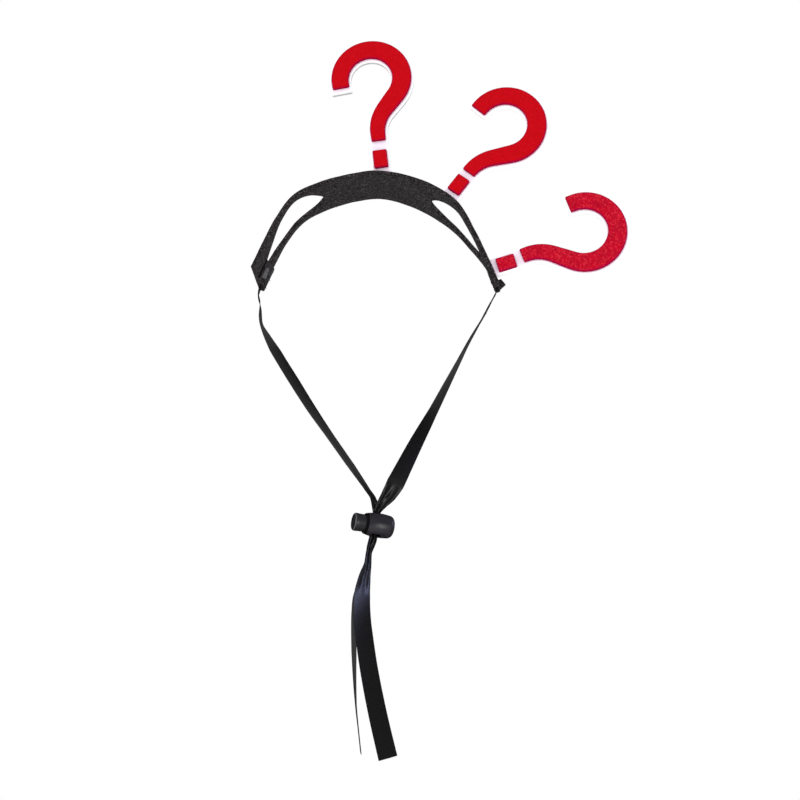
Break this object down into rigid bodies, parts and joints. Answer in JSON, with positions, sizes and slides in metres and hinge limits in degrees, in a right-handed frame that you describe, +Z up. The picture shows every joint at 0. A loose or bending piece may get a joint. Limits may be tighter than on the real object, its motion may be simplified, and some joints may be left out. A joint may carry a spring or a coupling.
{
  "type": "pet costume headband",
  "caption": "Black felt costume headband for a pet, with ear slots, upright red question marks, ribbon chin straps and a spring cord lock.",
  "frame": {"origin": "middle of the band's underside at the top of the arch, where it sits on the head", "axes": "+Z up, -Y the front, +X towards the side where the question marks lean out; the straps hang along -Z"},
  "size_m": [0.1982, 0.0362, 0.3935],
  "materials": {
    "black_felt": "matte, fuzzy",
    "red_felt": "matte, slightly mottled",
    "white_foam": "matte foam sheet",
    "satin_ribbon": "satin",
    "black_plastic": "semi-matte, moulded"
  },
  "bodies": {
    "headband": {"band": "black_felt", "question_top_base": "white_foam", "question_top_hook": "red_felt", "question_top_dot": "red_felt", "question_shoulder_base": "white_foam", "question_shoulder_hook": "red_felt", "question_shoulder_dot": "red_felt", "question_side_base": "white_foam", "question_side_hook": "red_felt", "question_side_dot": "red_felt", "strap_left": "satin_ribbon", "strap_right": "satin_ribbon", "lock_body": "black_plastic"},
    "button": {"lock_button": "black_plastic"}
  },
  "joints": [
    {"name": "button_press", "type": "slide", "parent": "headband", "child": "button", "axis": [0.9183, 0.3898, -0.0698], "range_m": [0, 0.003], "stiffness_N_per_m": 300}
  ]
}
